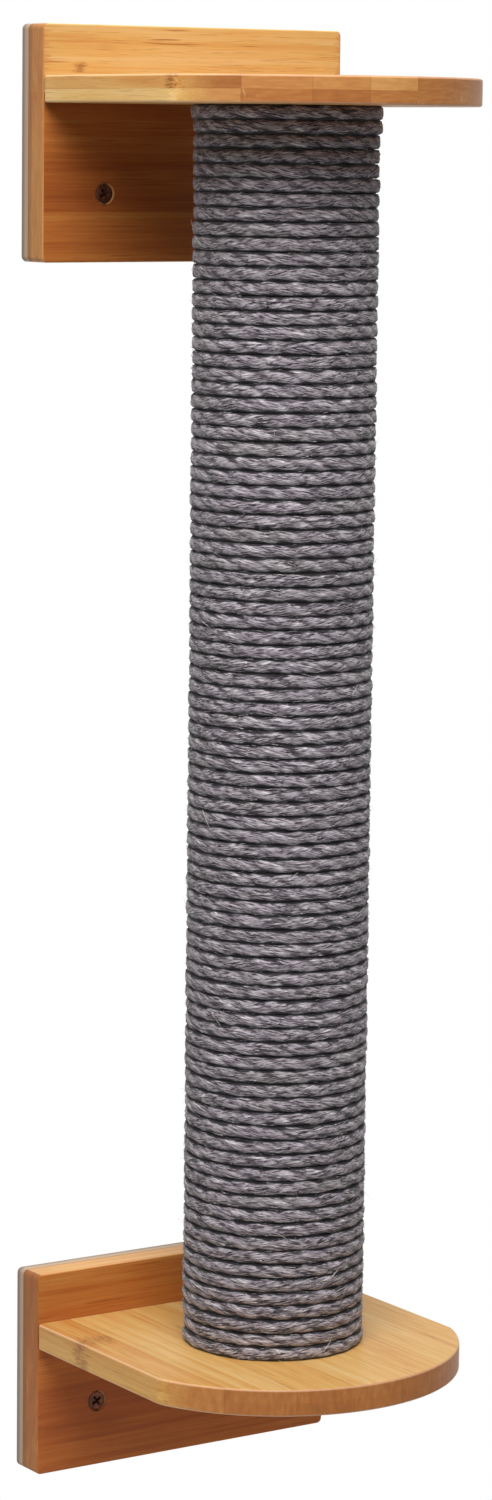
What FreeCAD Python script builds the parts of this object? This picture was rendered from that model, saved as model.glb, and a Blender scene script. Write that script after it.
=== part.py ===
import FreeCAD, Part
import math
import os
from types import SimpleNamespace

import Sketcher

# Wall scratching post: two bamboo brackets on the wall hold a post wound with rope.
# Millimetres. The origin is the centre of the four wall screws, on the wall's face.
# +X is to the right, +Y goes into the wall, +Z is up, and the post stands out towards -Y.

SIZES = {
    # Back plates
    "plate_width": 152.0,
    "plate_thickness": 18.0,
    "upper_plate_height": 100.0,
    "lower_plate_height": 90.0,
    "plate_rise": 21.5,
    "plate_corner_radius": 2.4,
    "plate_edge_ease": 0.8,
    # Shelves, as wide as the plates: straight sides and a front that is round about the post
    "shelf_side_length": 99.0,
    "shelf_corner_radius": 20.0,
    "shelf_thickness": 11.5,
    "shelf_edge_ease": 1.0,
    # Post: a cardboard tube with a wooden plug in each end
    "post_length": 528.0,
    "post_setback": 89.0,
    "core_diameter": 66.0,
    "core_wall": 4.0,
    "plug_length": 25.0,
    "plug_gap": 0.1,
    # Rope: each loop is a band of turns side by side, with sloping shoulders
    "rope_thickness": 5.8,
    "rope_shoulder": 2.9,
    "rope_seat_gap": 0.2,
    "rope_loops": 24,
    "loop_gap": 0.8,
    "climb_degrees": 120.0,
    # Bolts that hold the post between the shelves
    "bolt_diameter": 8.0,
    "bolt_length": 20.0,
    "bolt_head_diameter": 15.0,
    "bolt_head_height": 3.2,
    "bolt_sink": 0.3,
    "bolt_gap": 0.25,
    "washer_diameter": 18.0,
    "washer_thickness": 1.5,
    "washer_gap": 0.5,
    "insert_diameter": 12.0,
    "insert_length": 18.0,
    "insert_gap": 0.1,
    # Screws from the back of each plate into the rear edge of its shelf
    "bracket_screw_spacing": 110.0,
    "bracket_screw_diameter": 4.0,
    "bracket_screw_length": 45.0,
    "bracket_screw_head": 8.0,
    "bracket_screw_sink": 0.5,
    # Dowels between each plate and its shelf
    "dowel_spacing": 50.0,
    "dowel_diameter": 6.0,
    "dowel_length": 30.0,
    "dowel_in_plate": 12.0,
    # Wall screws, sunk in the front of the plates
    "wall_screw_spacing": 90.0,
    "wall_screw_height": 29.0,
    "wall_screw_thread": 4.5,
    "wall_screw_neck": 3.6,
    "wall_screw_reach": 32.0,
    "wall_screw_head": 8.0,
    "wall_screw_sink": 0.5,
    "wall_hole_gap": 0.5,
    # Fit of a screw or dowel in its hole and at the hole's end, and how far a tool overruns a face
    "hole_gap": 0.1,
    "hole_end_gap": 0.3,
    "cut_overrun": 1.0,
}
PATH_SAMPLES = 200
SLACK_SHARE = 1e-4

V = FreeCAD.Vector
doc = FreeCAD.newDocument("WallScratcher")
nodes = {}


class Size:
    """A named size or a sum of sizes: its number, and the text that binds it to the sheet."""

    def __init__(self, number, text):
        self.number = float(number)
        self.text = text

    def __float__(self):
        return self.number

    def __add__(self, other):
        return Size(self.number + float(other), f"({self.text} + {text_of(other)})")

    def __sub__(self, other):
        return Size(self.number - float(other), f"({self.text} - {text_of(other)})")

    def __mul__(self, other):
        return Size(self.number * float(other), f"({self.text} * {text_of(other)})")

    def __truediv__(self, other):
        return Size(self.number / float(other), f"({self.text} / {text_of(other)})")

    def __neg__(self):
        return Size(-self.number, f"(-1 * {self.text})")


def text_of(size):
    """The expression of a size, or the digits of a plain number."""
    return size.text if isinstance(size, Size) else str(size)


def make_sheet():
    """Put every driving size in the sheet and give back the sizes by name."""
    sheet = doc.addObject("Spreadsheet::Sheet", "Sizes")
    for row, (name, number) in enumerate(SIZES.items(), start=1):
        sheet.set(f"A{row}", name)
        sheet.set(f"B{row}", str(number))
        sheet.setAlias(f"B{row}", name)
    doc.recompute()
    return SimpleNamespace(**{name: Size(sheet.get(name), f"Sizes.{name}") for name in SIZES})


s = make_sheet()

# Places worked out from the driving sizes
screw_span = s.post_length + s.shelf_thickness + s.lower_plate_height - s.upper_plate_height
upper_plate_base = screw_span / 2 - s.wall_screw_height
lower_plate_base = -(screw_span / 2) - s.wall_screw_height
post_base = lower_plate_base + s.lower_plate_height - s.plate_rise
post_top = post_base + s.post_length
upper_shelf_base = post_top
lower_shelf_base = post_base - s.shelf_thickness
upper_joint_height = upper_shelf_base + s.shelf_thickness / 2
lower_joint_height = lower_shelf_base + s.shelf_thickness / 2
bore_depth = s.bolt_sink + s.bolt_head_height + s.washer_thickness

# Turns that point a piece's own Z axis up, down, towards the front or into the wall
UP, DOWN, FRONT, BACK = 0, 180, 90, -90


def bind(target, prop, size):
    """Set a property from a size, tied to the sheet, or from a plain number."""
    target.setExpression(prop, text_of(size))


def place(piece, x, y, z, turn=UP):
    """Stand a piece at a point, turned about X so that its Z axis points the given way."""
    piece.Placement = FreeCAD.Placement(V(0, 0, 0), FreeCAD.Rotation(V(1, 0, 0), turn))
    for axis, size in zip("xyz", (x, y, z)):
        bind(piece, f"Placement.Base.{axis}", size)
    return piece


def new_sketch(body, name, plane_role):
    """A sketch on one of the body's own origin planes."""
    sketch = body.newObject("Sketcher::SketchObject", name)
    plane = next(f for f in body.Origin.OriginFeatures if f.Role == plane_role)
    sketch.AttachmentSupport = (plane, [""])
    sketch.MapMode = "FlatFace"
    return sketch


def pin_corner(sketch, line, across, along):
    """Hold the start of a sketch line at a distance across and along from the sketch's origin."""
    for kind, axis_line, size in (("DistanceX", -2, across), ("DistanceY", -1, along)):
        if isinstance(size, Size):
            index = sketch.addConstraint(Sketcher.Constraint(kind, -1, 1, line, 1, float(size)))
            sketch.setExpression(f"Constraints[{index}]", size.text)
        else:
            sketch.addConstraint(Sketcher.Constraint("PointOnObject", line, 1, axis_line))


def draw_outline(sketch, corners):
    """Draw a closed outline of straight lines and pin each corner."""
    points = [V(float(across), float(along), 0) for across, along in corners]
    count = len(points)
    for i in range(count):
        sketch.addGeometry(Part.LineSegment(points[i], points[(i + 1) % count]), False)
    for i in range(count):
        sketch.addConstraint(Sketcher.Constraint("Coincident", i, 2, (i + 1) % count, 1))
    for i, (across, along) in enumerate(corners):
        pin_corner(sketch, i, across, along)


def turned(name, corners):
    """A piece turned about its own Z axis, from the corners (radius, height) of half its section."""
    body = doc.addObject("PartDesign::Body", name)
    sketch = new_sketch(body, f"{name}_section", "XZ_Plane")
    draw_outline(sketch, corners)
    revolution = body.newObject("PartDesign::Revolution", f"{name}_turn")
    revolution.Profile = sketch
    revolution.ReferenceAxis = (sketch, ["V_Axis"])
    revolution.Angle = 360
    body.Tip = revolution
    return body


def pair(name, piece):
    """A piece and its mirror image across the middle of the part."""
    mirrored = doc.addObject("Part::Mirroring", f"{name}_other")
    mirrored.Source = piece
    mirrored.Normal = V(1, 0, 0)
    both = doc.addObject("Part::Compound", name)
    both.Links = [piece, mirrored]
    return both


def cut(name, base, tools):
    """A piece with all its holes taken out."""
    joined = doc.addObject("Part::MultiFuse", f"{name}_holes")
    joined.Shapes = tools
    result = doc.addObject("Part::Cut", name)
    result.Base = base
    result.Tool = joined
    return result


def keep(name, piece):
    """Make a piece one of the part's nodes, under its own label."""
    piece.Label = name
    nodes[name] = piece


def dress_edges(body, feature, kind, name, size, wanted):
    """Round or ease the edges of a feature that the test wants, with a Fillet or a Chamfer."""
    doc.recompute()
    names = [f"Edge{i}" for i, edge in enumerate(feature.Shape.Edges, start=1) if wanted(edge)]
    dressed = body.newObject(f"PartDesign::{kind}", name)
    dressed.Base = (feature, names)
    bind(dressed, "Radius" if kind == "Fillet" else "Size", size)
    body.Tip = dressed
    return dressed


def runs_along(edge, axis):
    """Whether an edge is a straight line along a unit axis."""
    ends = edge.Vertexes
    if len(ends) != 2:
        return False
    step = ends[1].Point - ends[0].Point
    slack = SLACK_SHARE * edge.Length
    return step.cross(axis).Length < slack and step.Length > edge.Length - slack


def lies_flat(edge, axis):
    """Whether an edge lies in a plane square to a unit axis."""
    box = edge.BoundBox
    reach = V(box.XLength, box.YLength, box.ZLength)
    return abs(reach.dot(axis)) < SLACK_SHARE * edge.Length


# Holes: each tool is a turned piece whose Z axis points into the wood
def countersunk_hole(name, radius, mouth_radius, depth):
    """A straight hole with a right-angled countersink at its start, reaching the given depth."""
    top_radius = mouth_radius + s.cut_overrun
    return turned(
        name,
        [
            (0, 0),
            (top_radius, 0),
            (radius, top_radius - radius),
            (radius, depth + s.cut_overrun),
            (0, depth + s.cut_overrun),
        ],
    )


def straight_hole(name, radius, depth):
    """A plain round hole, reaching the given depth."""
    length = depth + s.cut_overrun
    return turned(name, [(0, 0), (radius, 0), (radius, length), (0, length)])


# Back plates
def board(name, height):
    """A plate's board, standing on Z = 0 with its back on the wall."""
    body = doc.addObject("PartDesign::Body", name)
    sketch = new_sketch(body, f"{name}_outline", "XZ_Plane")
    half = s.plate_width / 2
    draw_outline(sketch, [(-half, 0), (half, 0), (half, height), (-half, height)])
    pad = body.newObject("PartDesign::Pad", f"{name}_pad")
    pad.Profile = sketch
    bind(pad, "Length", s.plate_thickness)

    def at_corner(edge):
        return runs_along(edge, V(0, 1, 0))

    def on_front(edge):
        return lies_flat(edge, V(0, 1, 0)) and edge.CenterOfMass.y < -float(s.plate_thickness) / 2

    corners = dress_edges(body, pad, "Fillet", f"{name}_corners", s.plate_corner_radius, at_corner)
    dress_edges(body, corners, "Chamfer", f"{name}_edges", s.plate_edge_ease, on_front)
    return body


def backplate(name, height, base, joint_height):
    """A plate with its wall-screw, bracket-screw and dowel holes."""
    plate = place(board(f"{name}_board", height), 0, 0, base)
    front = -s.plate_thickness
    wall_hole = countersunk_hole(
        f"{name}_wall_hole",
        s.wall_screw_thread / 2 + s.wall_hole_gap,
        s.wall_screw_head / 2 + s.wall_screw_sink + s.hole_gap,
        s.plate_thickness + s.cut_overrun,
    )
    place(wall_hole, s.wall_screw_spacing / 2, front - s.cut_overrun, base + s.wall_screw_height, BACK)
    bracket_hole = countersunk_hole(
        f"{name}_bracket_hole",
        s.bracket_screw_diameter / 2 + s.hole_gap,
        s.bracket_screw_head / 2 + s.bracket_screw_sink + s.hole_gap,
        s.plate_thickness + s.cut_overrun,
    )
    place(bracket_hole, s.bracket_screw_spacing / 2, s.cut_overrun, joint_height, FRONT)
    dowel_hole = straight_hole(
        f"{name}_dowel_hole", s.dowel_diameter / 2 + s.hole_gap, s.dowel_in_plate + s.hole_end_gap
    )
    place(dowel_hole, s.dowel_spacing / 2, front - s.cut_overrun, joint_height, BACK)
    tools = [pair(f"{hole.Name}s", hole) for hole in (wall_hole, bracket_hole, dowel_hole)]
    keep(name, cut(name, plate, tools))


# Shelves
def shelf_board(name):
    """A shelf's board on Z = 0: straight back and sides, and an arc about the post at the front."""
    body = doc.addObject("PartDesign::Body", name)
    sketch = new_sketch(body, f"{name}_outline", "XY_Plane")
    half = float(s.plate_width) / 2
    back = -float(s.plate_thickness)
    side = float(s.shelf_side_length)
    side_end = back - side
    centre = V(0, -float(s.post_setback), 0)
    swing = math.atan2(side_end - centre.y, half)
    front = Part.Circle(centre, V(0, 0, 1), math.hypot(half, side_end - centre.y))
    sketch.addGeometry(Part.LineSegment(V(half, back, 0), V(-half, back, 0)), False)
    sketch.addGeometry(Part.LineSegment(V(-half, back, 0), V(-half, side_end, 0)), False)
    sketch.addGeometry(Part.ArcOfCircle(front, -math.pi - swing, swing), False)
    sketch.addGeometry(Part.LineSegment(V(half, side_end, 0), V(half, back, 0)), False)
    for first, first_end, second, second_end in ((0, 2, 1, 1), (1, 2, 2, 1), (2, 2, 3, 1), (3, 2, 0, 1)):
        sketch.addConstraint(Sketcher.Constraint("Coincident", first, first_end, second, second_end))
    sketch.addConstraint(Sketcher.Constraint("Vertical", 1))
    sketch.addConstraint(Sketcher.Constraint("Vertical", 3))
    sketch.addConstraint(Sketcher.Constraint("PointOnObject", 2, 3, -2))
    sketch.addConstraint(Sketcher.Constraint("Symmetric", 0, 1, 0, 2, -2))
    for constraint, size in (
        (Sketcher.Constraint("DistanceX", 0, 2, 0, 1, 2 * half), s.plate_width),
        (Sketcher.Constraint("DistanceY", 0, 1, -1, 1, -back), s.plate_thickness),
        (Sketcher.Constraint("DistanceY", 2, 3, -1, 1, -centre.y), s.post_setback),
        (Sketcher.Constraint("DistanceY", 1, 2, 1, 1, side), s.shelf_side_length),
    ):
        index = sketch.addConstraint(constraint)
        sketch.setExpression(f"Constraints[{index}]", size.text)
    pad = body.newObject("PartDesign::Pad", f"{name}_pad")
    pad.Profile = sketch
    bind(pad, "Length", s.shelf_thickness)

    def at_front_corner(edge):
        return runs_along(edge, V(0, 0, 1)) and edge.CenterOfMass.y < back - side / 2

    def on_rim(edge):
        return lies_flat(edge, V(0, 0, 1)) and not lies_flat(edge, V(0, 1, 0))

    corners = dress_edges(body, pad, "Fillet", f"{name}_corners", s.shelf_corner_radius, at_front_corner)
    dress_edges(body, corners, "Chamfer", f"{name}_edges", s.shelf_edge_ease, on_rim)
    return body


def shelf(name, base, joint_height, bolt_face, inward):
    """A shelf with its counterbored bolt hole and the screw and dowel holes in its rear edge."""
    wood = place(shelf_board(f"{name}_board"), 0, 0, base)
    bore_radius = s.washer_diameter / 2 + s.washer_gap
    hole_radius = s.bolt_diameter / 2 + s.bolt_gap
    through = s.shelf_thickness + s.cut_overrun + s.cut_overrun
    bolt_hole = turned(
        f"{name}_bolt_hole",
        [
            (0, 0),
            (bore_radius, 0),
            (bore_radius, bore_depth + s.cut_overrun),
            (hole_radius, bore_depth + s.cut_overrun),
            (hole_radius, through),
            (0, through),
        ],
    )
    outside = bolt_face + s.cut_overrun if inward == DOWN else bolt_face - s.cut_overrun
    place(bolt_hole, 0, -s.post_setback, outside, inward)
    rear = s.cut_overrun - s.plate_thickness
    screw_hole = straight_hole(
        f"{name}_screw_hole",
        s.bracket_screw_diameter / 2 + s.hole_gap,
        s.bracket_screw_length + s.bracket_screw_sink - s.plate_thickness + s.hole_end_gap,
    )
    place(screw_hole, s.bracket_screw_spacing / 2, rear, joint_height, FRONT)
    dowel_hole = straight_hole(
        f"{name}_dowel_hole",
        s.dowel_diameter / 2 + s.hole_gap,
        s.dowel_length - s.dowel_in_plate + s.hole_end_gap,
    )
    place(dowel_hole, s.dowel_spacing / 2, rear, joint_height, FRONT)
    tools = [pair(f"{hole.Name}s", hole) for hole in (screw_hole, dowel_hole)]
    keep(name, cut(name, wood, tools + [bolt_hole]))


# Post
def core_tube():
    """The cardboard tube under the rope."""
    outer = s.core_diameter / 2
    inner = outer - s.core_wall
    tube = turned("post_core_tube", [(inner, 0), (outer, 0), (outer, s.post_length), (inner, s.post_length)])
    keep("post_core_tube", place(tube, 0, -s.post_setback, post_base))


def end_plug(name, end, inward):
    """A wooden plug, flush with the tube's end, bored for the threaded insert."""
    outer = s.core_diameter / 2 - s.core_wall - s.plug_gap
    bore = s.insert_diameter / 2 + s.insert_gap
    plug = turned(name, [(bore, 0), (outer, 0), (outer, s.plug_length), (bore, s.plug_length)])
    keep(name, place(plug, 0, -s.post_setback, end, inward))


def threaded_insert(name, end, inward):
    """An insert in the plug, flush with the post's end, that the bolt screws into."""
    bore = s.bolt_diameter / 2 + s.insert_gap
    outer = s.insert_diameter / 2
    insert = turned(name, [(bore, 0), (outer, 0), (outer, s.insert_length), (bore, s.insert_length)])
    keep(name, place(insert, 0, -s.post_setback, end, inward))


def post_bolt(name, face, inward):
    """A low-headed bolt through the shelf into the insert, its head just under the shelf's face."""
    head = s.bolt_head_diameter / 2
    shank = s.bolt_diameter / 2
    end = s.bolt_head_height + s.bolt_length
    bolt = turned(
        name,
        [
            (0, 0),
            (head, 0),
            (head, s.bolt_head_height),
            (shank, s.bolt_head_height),
            (shank, end),
            (0, end),
        ],
    )
    keep(name, place(bolt, 0, -s.post_setback, face, inward))


def bolt_washer(name, face, inward):
    """The flat washer between the bolt's head and the shelf."""
    inner = s.bolt_diameter / 2 + s.bolt_gap
    outer = s.washer_diameter / 2
    thickness = s.washer_thickness
    washer = turned(name, [(inner, 0), (outer, 0), (outer, thickness), (inner, thickness)])
    keep(name, place(washer, 0, -s.post_setback, face, inward))


# Screws and dowels
def bracket_screws(name, joint_height):
    """Two countersunk screws from the plate's back into the shelf's rear edge."""
    head = s.bracket_screw_head / 2
    shank = s.bracket_screw_diameter / 2
    screw = turned(
        f"{name}_one",
        [
            (0, 0),
            (head, 0),
            (shank, head - shank),
            (shank, s.bracket_screw_length),
            (0, s.bracket_screw_length),
        ],
    )
    place(screw, s.bracket_screw_spacing / 2, -s.bracket_screw_sink, joint_height, FRONT)
    keep(name, pair(name, screw))


def dowels(name, joint_height):
    """Two dowels across the joint of plate and shelf."""
    radius = s.dowel_diameter / 2
    dowel = turned(f"{name}_one", [(0, 0), (radius, 0), (radius, s.dowel_length), (0, s.dowel_length)])
    place(dowel, s.dowel_spacing / 2, s.dowel_in_plate - s.plate_thickness, joint_height, FRONT)
    keep(name, pair(name, dowel))


def wall_screws(name, base):
    """Two countersunk screws through the plate, standing out of its back into the wall."""
    head = s.wall_screw_head / 2
    neck = s.wall_screw_neck / 2
    thread = s.wall_screw_thread / 2
    wall = s.plate_thickness - s.wall_screw_sink
    length = wall + s.wall_screw_reach
    screw = turned(
        f"{name}_one",
        [
            (0, 0),
            (head, 0),
            (neck, head - neck),
            (neck, wall),
            (thread, wall),
            (thread, length),
            (0, length),
        ],
    )
    face = s.wall_screw_sink - s.plate_thickness
    place(screw, s.wall_screw_spacing / 2, face, base + s.wall_screw_height, BACK)
    keep(name, pair(name, screw))


# Rope
def arc_from(start, heading, end):
    """The arc that leaves a point along a heading and ends at another point."""
    chord = end - start
    inward = heading.cross(chord).cross(heading)
    inward.normalize()
    centre = start + inward * (chord.dot(chord) / (2 * chord.dot(inward)))
    outward = (start + end) * 0.5 - centre
    outward.normalize()
    return Part.Arc(start, centre + outward * start.distanceToPoint(centre), end)


def biarc(start, heading, end, end_heading):
    """Two arcs that meet smoothly and join two points with the given headings."""
    chord = end - start
    a = 2 * (1 - heading.dot(end_heading))
    b = 2 * chord.dot(heading + end_heading)
    reach = (math.sqrt(b * b + 4 * a * chord.dot(chord)) - b) / (2 * a)
    first = start + heading * reach
    second = end - end_heading * reach
    middle = (first + second) * 0.5
    middle_heading = second - first
    middle_heading.normalize()
    return [arc_from(start, heading, middle), arc_from(middle, middle_heading, end)]


def rope_winding():
    """The rope on the tube: bands that run level round the front and climb at the back."""
    inner = float(s.core_diameter) / 2 + float(s.rope_seat_gap)
    thickness = float(s.rope_thickness)
    loops = int(float(s.rope_loops))
    rise = float(s.post_length) / loops
    radius = inner + thickness / 2
    climb = math.radians(float(s.climb_degrees))
    first = math.pi / 2 + climb / 2
    last = first + 2 * math.pi - climb
    end_angle = thickness / radius

    def point(angle, height):
        return V(radius * math.cos(angle), radius * math.sin(angle), height)

    def heading(angle):
        return V(-math.sin(angle), math.cos(angle), 0)

    def level(start, stop, height):
        middle = (start + stop) / 2
        return Part.Arc(point(start, height), point(middle, height), point(stop, height))

    def climb_from(height):
        top = height + rise
        return biarc(point(last, height), heading(last), point(last + climb, top), heading(last + climb))

    path = []
    for loop in range(loops):
        height = (loop + 0.5) * rise
        start = first + end_angle if loop == 0 else first
        stop = last - end_angle if loop == loops - 1 else last
        if loop == 0:
            tail = point(start, height) - heading(start) * thickness
            path.append(Part.LineSegment(tail, point(start, height)))
        path.append(level(start, (start + stop) / 2, height))
        path.append(level((start + stop) / 2, stop, height))
        if loop == loops - 1:
            end = point(stop, height)
            path.append(Part.LineSegment(end, end + heading(stop) * thickness))
        else:
            path += climb_from(height)
    spine = Part.Wire([piece.toShape() for piece in path])

    # Section of one band: flat against the tube, and narrower at its crown
    foot = (rise - float(s.loop_gap)) / 2
    crown = foot - float(s.rope_shoulder)
    depth = thickness / 2
    corners = [(-depth, -foot), (depth, -crown), (depth, crown), (-depth, foot)]
    begin = spine.Edges[0].Vertexes[0].Point
    out = V(math.cos(first + end_angle), math.sin(first + end_angle), 0)
    outline = [begin + out * across + V(0, 0, along) for across, along in corners]
    section = Part.makePolygon(outline + outline[:1])

    shell = Part.BRepOffsetAPI.MakePipeShell(spine)
    shell.setBiNormalMode(V(0, 0, 1))
    shell.add(section, False, False)
    shell.build()
    shell.makeSolid()
    rope = doc.addObject("Part::Feature", "rope_winding")
    rope.Shape = shell.shape()
    place(rope, 0, -s.post_setback, post_base)
    keep("rope_winding", rope)

    # Least gap between one loop and the next, on points along the edges of their feet
    foot_share = inner / radius
    turn = climb_from(0) + [level(first, (first + last) / 2, rise), level((first + last) / 2, last, rise)]
    points = [p for piece in turn for p in piece.toShape().discretize(PATH_SAMPLES)]
    below = Part.makePolygon([V(p.x * foot_share, p.y * foot_share, p.z + foot) for p in points])
    above = Part.makePolygon([V(p.x * foot_share, p.y * foot_share, p.z + rise - foot) for p in points])
    gap = below.distToShape(above)[0]
    print(f"rope: {loops} loops, path {spine.Length:.0f} mm, least gap to itself {gap:.2f} mm")


backplate("upper_backplate", s.upper_plate_height, upper_plate_base, upper_joint_height)
backplate("lower_backplate", s.lower_plate_height, lower_plate_base, lower_joint_height)
shelf("upper_shelf", upper_shelf_base, upper_joint_height, post_top + s.shelf_thickness, DOWN)
shelf("lower_shelf", lower_shelf_base, lower_joint_height, lower_shelf_base, UP)
core_tube()
end_plug("upper_end_plug", post_top, DOWN)
end_plug("lower_end_plug", post_base, UP)
threaded_insert("upper_threaded_insert", post_top, DOWN)
threaded_insert("lower_threaded_insert", post_base, UP)
upper_bolt_face = post_top + s.shelf_thickness - s.bolt_sink
lower_bolt_face = lower_shelf_base + s.bolt_sink
post_bolt("upper_post_bolt", upper_bolt_face, DOWN)
post_bolt("lower_post_bolt", lower_bolt_face, UP)
bolt_washer("upper_bolt_washer", upper_bolt_face - s.bolt_head_height, DOWN)
bolt_washer("lower_bolt_washer", lower_bolt_face + s.bolt_head_height, UP)
bracket_screws("upper_bracket_screws", upper_joint_height)
bracket_screws("lower_bracket_screws", lower_joint_height)
dowels("upper_dowels", upper_joint_height)
dowels("lower_dowels", lower_joint_height)
wall_screws("upper_wall_screws", upper_plate_base)
wall_screws("lower_wall_screws", lower_plate_base)
rope_winding()
doc.recompute()

for item in doc.Objects:
    if "Invalid" in item.State or "Error" in item.State:
        raise RuntimeError(f"{item.Label} failed: {item.State}")
for name, piece in nodes.items():
    if piece.Shape.isNull() or not piece.Shape.isValid() or piece.Shape.Volume <= 0:
        raise RuntimeError(f"{name} has no valid solid")
for name in ("upper_backplate", "lower_backplate", "upper_shelf", "lower_shelf"):
    if nodes[name].Shape.Volume >= nodes[name].Base.Shape.Volume:
        raise RuntimeError(f"the holes of {name} cut nothing")

os.makedirs("parts", exist_ok=True)
for name, piece in nodes.items():
    piece.Shape.exportStep(f"parts/{name}.step")
print(f"{len(nodes)} nodes written")
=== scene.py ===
import math
import random

import bmesh
import bpy
from mathutils import Matrix, Vector


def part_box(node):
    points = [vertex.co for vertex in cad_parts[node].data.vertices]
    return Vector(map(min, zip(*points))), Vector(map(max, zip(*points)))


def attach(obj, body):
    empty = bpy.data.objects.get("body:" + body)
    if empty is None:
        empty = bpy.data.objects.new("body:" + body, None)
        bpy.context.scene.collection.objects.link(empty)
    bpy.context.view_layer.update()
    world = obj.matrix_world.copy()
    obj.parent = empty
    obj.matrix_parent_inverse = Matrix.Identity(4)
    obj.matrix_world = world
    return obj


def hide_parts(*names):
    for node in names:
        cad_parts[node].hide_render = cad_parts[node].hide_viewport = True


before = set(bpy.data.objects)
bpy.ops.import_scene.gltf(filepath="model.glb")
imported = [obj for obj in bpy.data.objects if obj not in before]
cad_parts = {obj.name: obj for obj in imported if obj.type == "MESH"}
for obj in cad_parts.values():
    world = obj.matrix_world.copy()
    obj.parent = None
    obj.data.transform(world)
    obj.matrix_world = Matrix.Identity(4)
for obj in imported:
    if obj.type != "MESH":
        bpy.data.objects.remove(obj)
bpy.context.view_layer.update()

# A scratching post for a wall: two bamboo brackets hold a post that is wound with sisal rope.
# Metres and radians. The post stands out from the wall towards -Y, and +Z is up.

MM = 0.001
QUARTER = math.pi / 2
FULL_TURN = 2 * math.pi
BODY = "root"
SHARP_ANGLE = math.radians(32)

# Boards
POST_SETBACK = 89.0 * MM
PLATE_FRONT_EASE = 0.7 * MM
PLATE_BACK_EASE = 1.2 * MM
PLATE_CORNER = 2.4 * MM
PLATE_PLY = 6.0 * MM
PLATE_PLIES = 3
SHELF_EASE = 1.0 * MM
SHELF_REAR_CORNER = 2.2 * MM
SHELF_FRONT_CORNER = 20.0 * MM
SHELF_FRONT_RADIUS = 81.0 * MM
SHELF_PLY = 5.75 * MM
SHELF_PLIES = 2
EASE_MARGIN = 0.3 * MM
EASE_STEPS = 6
CORNER_STEPS = 8
FRONT_STEPS = 72

# Holes in the boards
COUNTERSINK = 4.7 * MM
COUNTERSINK_LIP = 0.25 * MM
COUNTERSINK_LIP_INSET = 0.12 * MM
WALL_HOLE = 2.75 * MM
BRACKET_HOLE = 2.1 * MM
BRACKET_HOLE_DEPTH = 6.0 * MM
SCREW_HOLE_SIDES = 40
BOLT_BORE = 9.5 * MM
BOLT_BORE_DEPTH = 5.0 * MM
BOLT_BORE_EASE = 0.35 * MM
BOLT_BORE_SIDES = 56

# Screws: distance from the middle, way into the wall or out of it, how far each cross is turned, and sizes
WALL_SCREW = {
    "away": 45.0 * MM,
    "way": 1,
    "turns": (0.2, 0.8),
    "plain": 19.0 * MM,
    "neck": 1.8 * MM,
    "crest": 2.25 * MM,
}
BRACKET_SCREW = {
    "away": 55.0 * MM,
    "way": -1,
    "turns": (1.3, 0.5),
    "plain": 14.0 * MM,
    "neck": 1.7 * MM,
    "crest": 2.0 * MM,
}
SCREW_SIDES = 28
SCREW_HEAD = 4.0 * MM
SCREW_RIM = 0.3 * MM
SCREW_PITCH = 2.2 * MM
SCREW_TIP = 6.0 * MM
# Thickness of the thread's core as a share of the neck, and how far the cone runs before it rounds off
SCREW_CORE = 0.78
SCREW_CONE = 0.9
CROSS_REACH = 2.45 * MM
CROSS_HALF = 0.62 * MM
# Depth and radius of a head's rounded rim, and depth and scale of the cross on its way down
SCREW_RIM_STEPS = ((0.0, 3.75 * MM), (0.12 * MM, 3.94 * MM), (SCREW_RIM, SCREW_HEAD))
CROSS_STEPS = ((0.0, 1.0), (1.1 * MM, 0.72), (1.9 * MM, 0.3))

# Bolts
BOLT_SIDES = 48
BOLT_HEAD_HEIGHT = 3.2 * MM
BOLT_SHANK = 4.0 * MM
BOLT_CORE = 3.45 * MM
BOLT_END = 3.1 * MM
BOLT_PLAIN = 3.0 * MM
BOLT_PITCH = 1.25 * MM
BOLT_TIP = 0.8 * MM
# Depth and radius of the head's loops, from its top to the shank
BOLT_HEAD = (
    (0.0, 6.9 * MM),
    (0.15 * MM, 7.28 * MM),
    (0.6 * MM, 7.5 * MM),
    (3.0 * MM, 7.5 * MM),
    (BOLT_HEAD_HEIGHT, 7.3 * MM),
    (BOLT_HEAD_HEIGHT, BOLT_SHANK),
)
SOCKET_REACH = 2.9 * MM
SOCKET_DEPTH = 1.9 * MM
SOCKET_POINT = 2.4 * MM

# Rope on the post
ROPE_TURNS = 88
ROPE_STEPS = 94
ROPE_LAY = 36.0 * MM
ROPE_LINE = 36.0 * MM
ROPE_SQUARENESS = 5.0
STRANDS = 3
STRAND_POINTS = 4
STRAND_OFFSET = 0.65 * MM
STRAND_RADIUS = 2.4 * MM
CLIMB = math.radians(120)
CLIMB_START = math.radians(150)
# How much of a turn the rope ends before its last climb
ROPE_CUT = 0.01
TOP_BULGE = 0.9 * MM
TOP_BULGE_TURNS = 2.4
# How the rope wanders along its length: seed, spacing and size
SWAY = (11, 45 * MM, 0.2 * MM)
SWELL = (12, 60 * MM, 0.22 * MM)
GIRTH = (13, 25 * MM, 0.03)
STRAND_LUMPS = tuple((20 + strand, 14 * MM, 0.06) for strand in range(STRANDS))

# Loose fibres: slivers lie on the rope, fuzz stands off it, and straws lie across the turns
FIBRE_SEED = 77
FIBRE_SEAT = 2.75 * MM
# Middle and spread of their places round the rope's section
FIBRE_ANGLES = (0.1, 0.65)
FIBRE_TAPER = 0.7
FIBRE_SIDES = 3
FIBRE_STEPS = 4
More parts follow.
